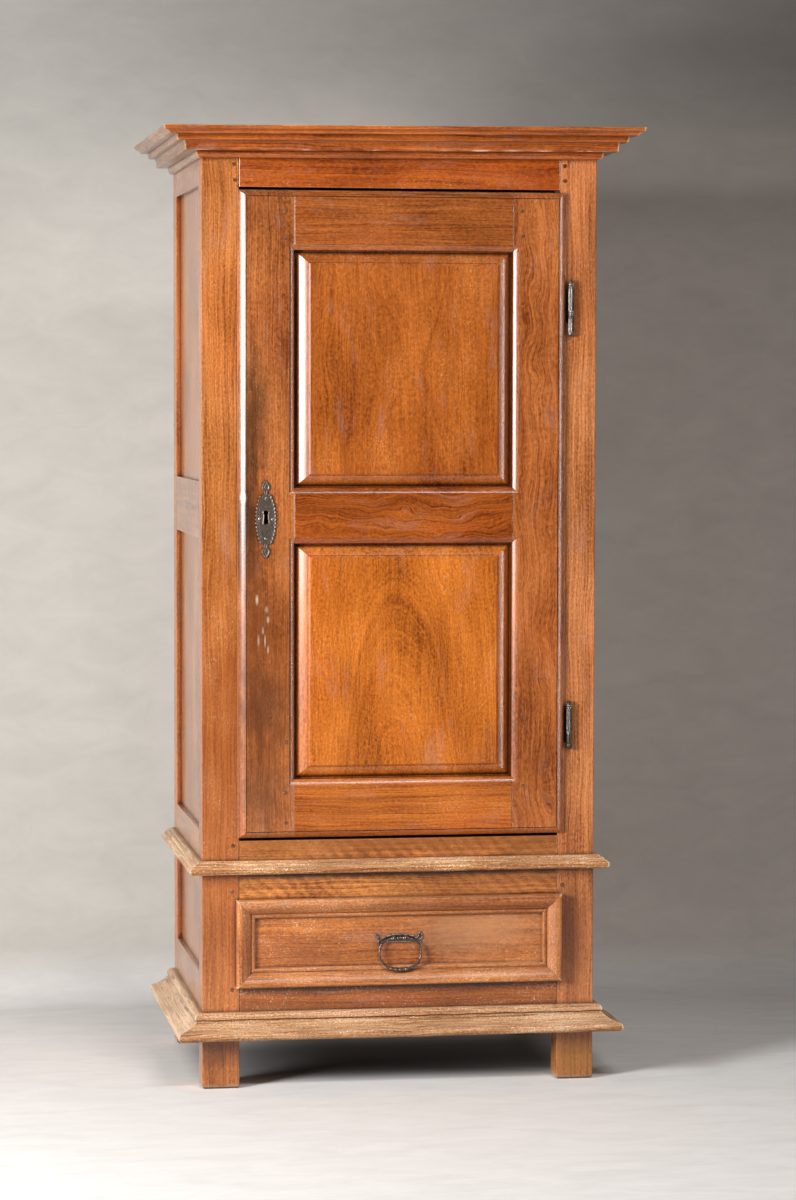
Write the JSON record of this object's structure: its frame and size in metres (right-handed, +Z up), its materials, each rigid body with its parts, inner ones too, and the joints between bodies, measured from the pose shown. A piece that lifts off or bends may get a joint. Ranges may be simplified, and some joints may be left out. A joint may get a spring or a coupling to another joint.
{
  "type": "bread cupboard",
  "caption": "Tall walnut bread cupboard: pegged post-and-rail case, raised-panel door with lock and barrel hinges, moulded drawer with a ring pull, stepped cornice and square feet.",
  "frame": {"origin": "on the floor, under the middle of the whole outline (bottom centre of the bounding box)", "axes": "+Z up, -Y out of the front towards the viewer, +X to the viewer's right (hinge side)"},
  "size_m": [0.9816, 0.6648, 1.95],
  "materials": {
    "walnut": "old wax polish over walnut, satin",
    "walnut_dark": "walnut darkened by handling, satin",
    "walnut_pale": "walnut mouldings worn paler on the edges",
    "poplar": "bare planed softwood inside",
    "forged_iron": "dark forged iron, worn bright where it is handled"
  },
  "bodies": {
    "case": {"back_panel": "poplar", "back_rail_bottom": "walnut", "back_rail_top": "walnut", "base_moulding_front": "walnut_pale", "base_moulding_left": "walnut_pale", "base_moulding_right": "walnut_pale", "bottom_board": "poplar", "cornice_front": "walnut_pale", "cornice_left": "walnut_pale", "cornice_right": "walnut_pale", "cupboard_floor": "poplar", "front_rail_bottom": "walnut", "front_rail_middle": "walnut", "front_rail_top": "walnut", "hinge_lower_case_half": "forged_iron", "hinge_upper_case_half": "forged_iron", "post_back_left": "walnut", "post_back_right": "walnut", "post_front_left": "walnut", "post_front_right": "walnut", "shelf_lower": "poplar", "shelf_upper": "poplar", "side_panel_drawer_left": "walnut", "side_panel_drawer_right": "walnut", "side_panel_lower_left": "walnut", "side_panel_lower_right": "walnut", "side_panel_upper_left": "walnut", "side_panel_upper_right": "walnut", "side_rail_bottom_left": "walnut", "side_rail_bottom_right": "walnut", "side_rail_middle_left": "walnut", "side_rail_middle_right": "walnut", "side_rail_top_left": "walnut", "side_rail_top_right": "walnut", "side_rail_waist_left": "walnut", "side_rail_waist_right": "walnut", "top_board": "poplar", "waist_moulding_front": "walnut_pale", "waist_moulding_left": "walnut_pale", "waist_moulding_right": "walnut_pale"},
    "door": {"door_stile_lock": "walnut_dark", "door_stile_hinge": "walnut", "door_rail_top": "walnut", "door_rail_middle": "walnut", "door_rail_bottom": "walnut", "door_panel_upper": "walnut", "door_panel_lower": "walnut", "escutcheon": "forged_iron", "lock_case": "forged_iron", "hinge_upper_door_half": "forged_iron", "hinge_lower_door_half": "forged_iron"},
    "lock_bolt": {"lock_bolt": "forged_iron"},
    "drawer": {"drawer_front": "walnut", "drawer_moulding": "walnut_pale", "drawer_side_left": "poplar", "drawer_side_right": "poplar", "drawer_back": "poplar", "drawer_bottom": "poplar", "pull_backplate": "forged_iron"},
    "pull_ring": {"pull_ring": "forged_iron"}
  },
  "joints": [
    {"name": "door_swing", "type": "hinge", "parent": "case", "child": "door", "pos_m": [0.352, -0.2551, 0.514], "axis": [0, 0, 1], "range_deg": [0, 110]},
    {"name": "bolt_slide", "type": "slide", "parent": "door", "child": "lock_bolt", "axis": [-1, 0, 0], "range_m": [0, 0.014]},
    {"name": "drawer_slide", "type": "slide", "parent": "case", "child": "drawer", "axis": [0, -1, 0], "range_m": [0, 0.36]},
    {"name": "pull_swing", "type": "hinge", "parent": "drawer", "child": "pull_ring", "pos_m": [0, -0.2552, 0.303], "axis": [-1, 0, 0], "range_deg": [0, 95]}
  ]
}
